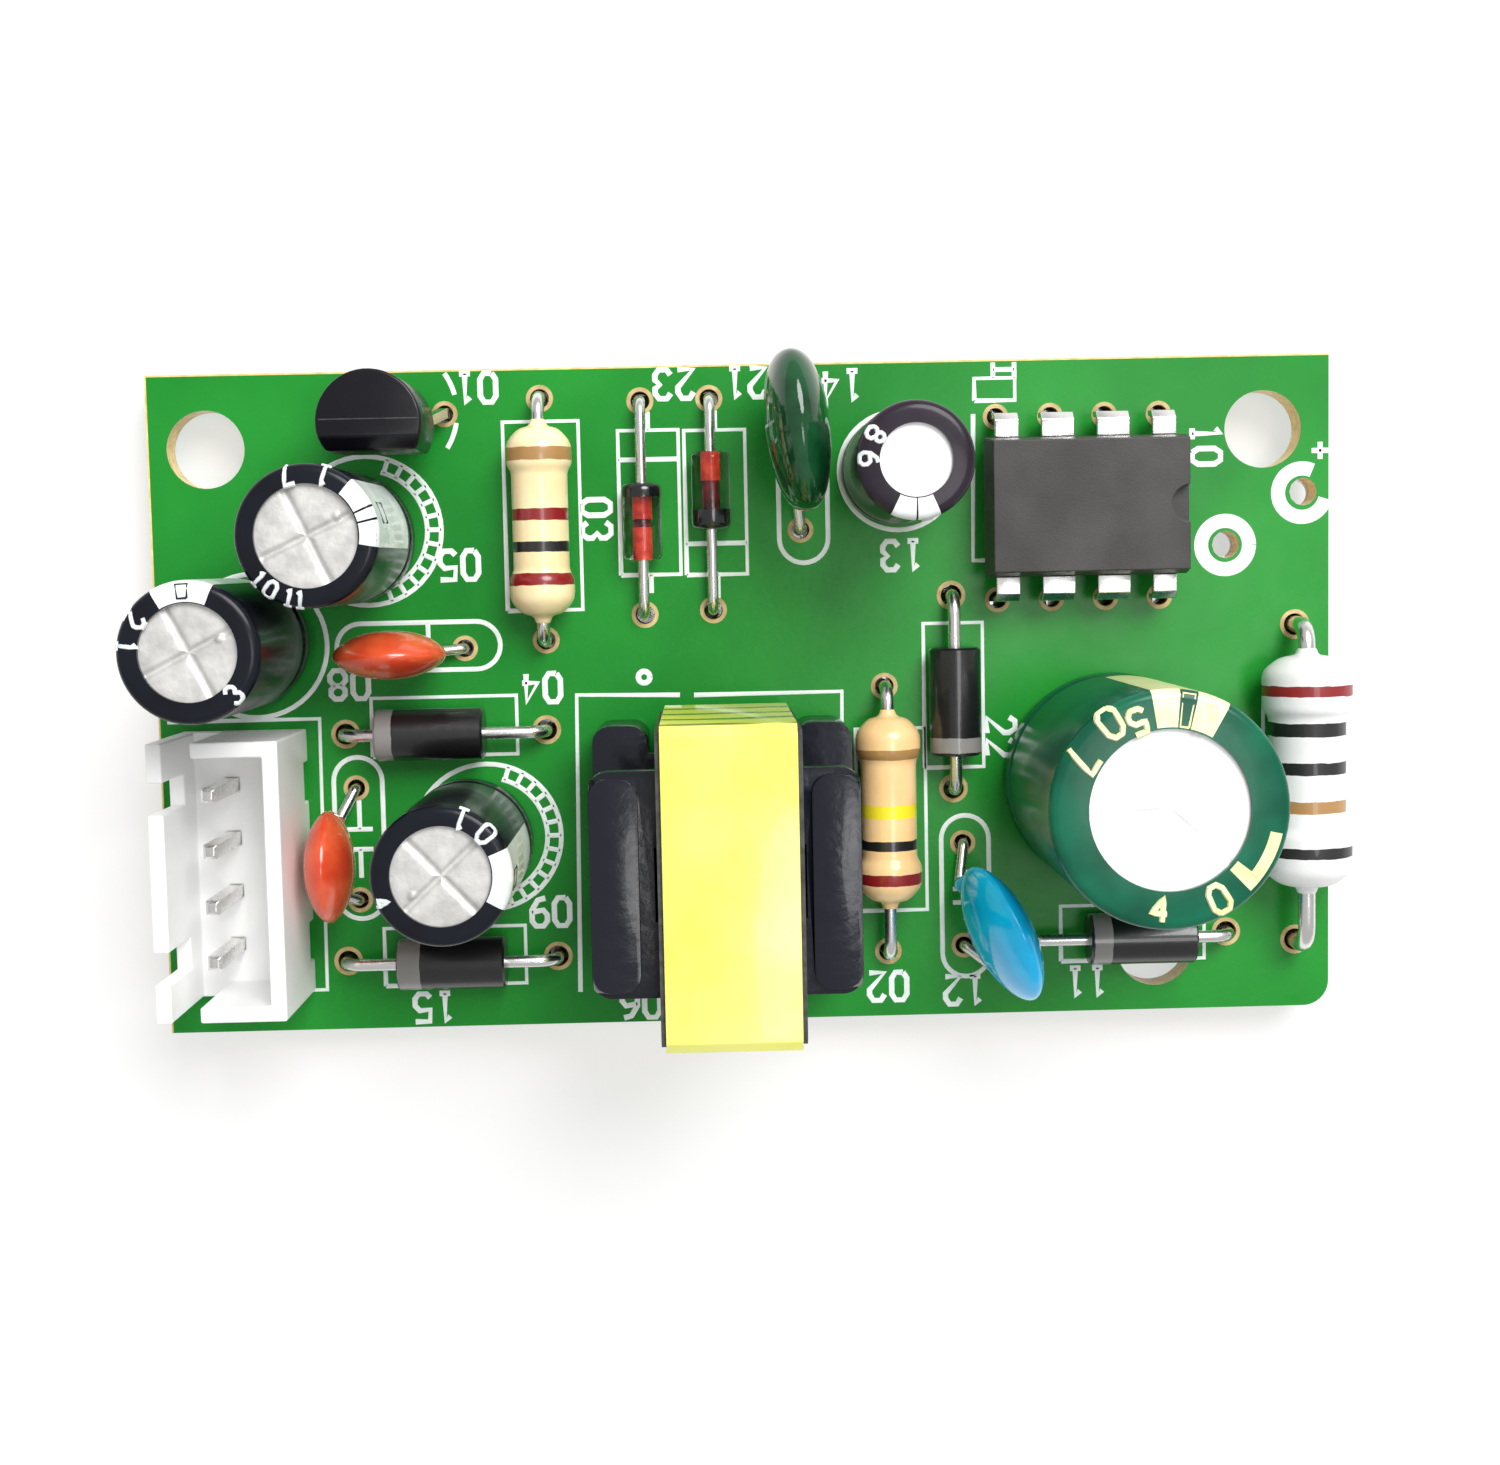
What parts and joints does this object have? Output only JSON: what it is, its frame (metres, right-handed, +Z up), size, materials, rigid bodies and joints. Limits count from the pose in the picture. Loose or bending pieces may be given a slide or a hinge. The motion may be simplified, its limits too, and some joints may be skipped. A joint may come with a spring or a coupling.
{
  "type": "power supply module",
  "caption": "Small rectangular mains power supply board: upright can capacitors, a taped transformer, a controller chip, lying resistors and diodes, and a shrouded header.",
  "frame": {"origin": "on the board's underside, midway between the two fixing holes of the upper edge", "axes": "+X along the board's length from the header's end to the input end, +Y across the board towards its two fixing holes, +Z up from the board"},
  "size_m": [0.0554, 0.0309, 0.0171],
  "materials": {
    "board": "green solder mask over glass cloth board, satin",
    "solder": "bright set solder",
    "tinned_wire": "tin-plated, softly bright",
    "white_plastic": "moulded nylon, satin",
    "can": "drawn aluminium, satin",
    "black_sleeve": "shrunk sleeve, glossy",
    "green_sleeve": "shrunk sleeve, glossy",
    "purple_sleeve": "shrunk sleeve, glossy",
    "seal_rubber": "moulded rubber seal",
    "cream_resistor": "lacquered ceramic",
    "tan_resistor": "lacquered ceramic",
    "pale_resistor": "cement-like lacquer",
    "black_moulding": "moulded epoxy, fine matt",
    "grey_moulding": "moulded epoxy, fine matt",
    "diode_glass": "drawn glass bead",
    "orange_dip": "dipped resin, glossy",
    "blue_dip": "dipped resin, glossy",
    "green_dip": "dipped resin, glossy",
    "bobbin_plastic": "moulded phenolic, satin",
    "yellow_tape": "polyester tape, glossy",
    "ferrite": "sintered ferrite, ground"
  },
  "bodies": {
    "root": {"bleed_resistor_body": "tan_resistor", "bleed_resistor_leads": "tinned_wire", "circuit_board": "board", "clamp_diode_body": "black_moulding", "clamp_diode_leads": "tinned_wire", "controller_body": "grey_moulding", "controller_leads": "tinned_wire", "end_disc_body": "orange_dip", "end_disc_leads": "tinned_wire", "film_capacitor_body": "green_dip", "film_capacitor_leads": "tinned_wire", "filter_capacitor_can": "can", "filter_capacitor_leads": "tinned_wire", "filter_capacitor_seal": "seal_rubber", "filter_capacitor_sleeve": "black_sleeve", "fusible_resistor_body": "pale_resistor", "fusible_resistor_leads": "tinned_wire", "header_housing": "white_plastic", "header_pins": "tinned_wire", "left_glass_diode_bead": "diode_glass", "left_glass_diode_leads": "tinned_wire", "mains_capacitor_can": "can", "mains_capacitor_leads": "tinned_wire", "mains_capacitor_seal": "seal_rubber", "mains_capacitor_sleeve": "green_sleeve", "mains_diode_body": "black_moulding", "mains_diode_leads": "tinned_wire", "mains_disc_body": "blue_dip", "mains_disc_leads": "tinned_wire", "output_capacitor_can": "can", "output_capacitor_leads": "tinned_wire", "output_capacitor_seal": "seal_rubber", "output_capacitor_sleeve": "black_sleeve", "output_diode_body": "black_moulding", "output_diode_leads": "tinned_wire", "right_glass_diode_bead": "diode_glass", "right_glass_diode_leads": "tinned_wire", "second_output_diode_body": "black_moulding", "second_output_diode_leads": "tinned_wire", "side_capacitor_can": "can", "side_capacitor_leads": "tinned_wire", "side_capacitor_seal": "seal_rubber", "side_capacitor_sleeve": "black_sleeve", "small_disc_body": "orange_dip", "small_disc_leads": "tinned_wire", "solder_joints": "solder", "start_resistor_body": "cream_resistor", "start_resistor_leads": "tinned_wire", "supply_capacitor_can": "can", "supply_capacitor_leads": "tinned_wire", "supply_capacitor_seal": "seal_rubber", "supply_capacitor_sleeve": "purple_sleeve", "transformer_bobbin": "bobbin_plastic", "transformer_core_lower": "ferrite", "transformer_core_tape": "yellow_tape", "transformer_core_upper": "ferrite", "transformer_pins": "tinned_wire", "transformer_winding": "yellow_tape", "transistor_body": "black_moulding", "transistor_leads": "tinned_wire"}
  },
  "joints": []
}
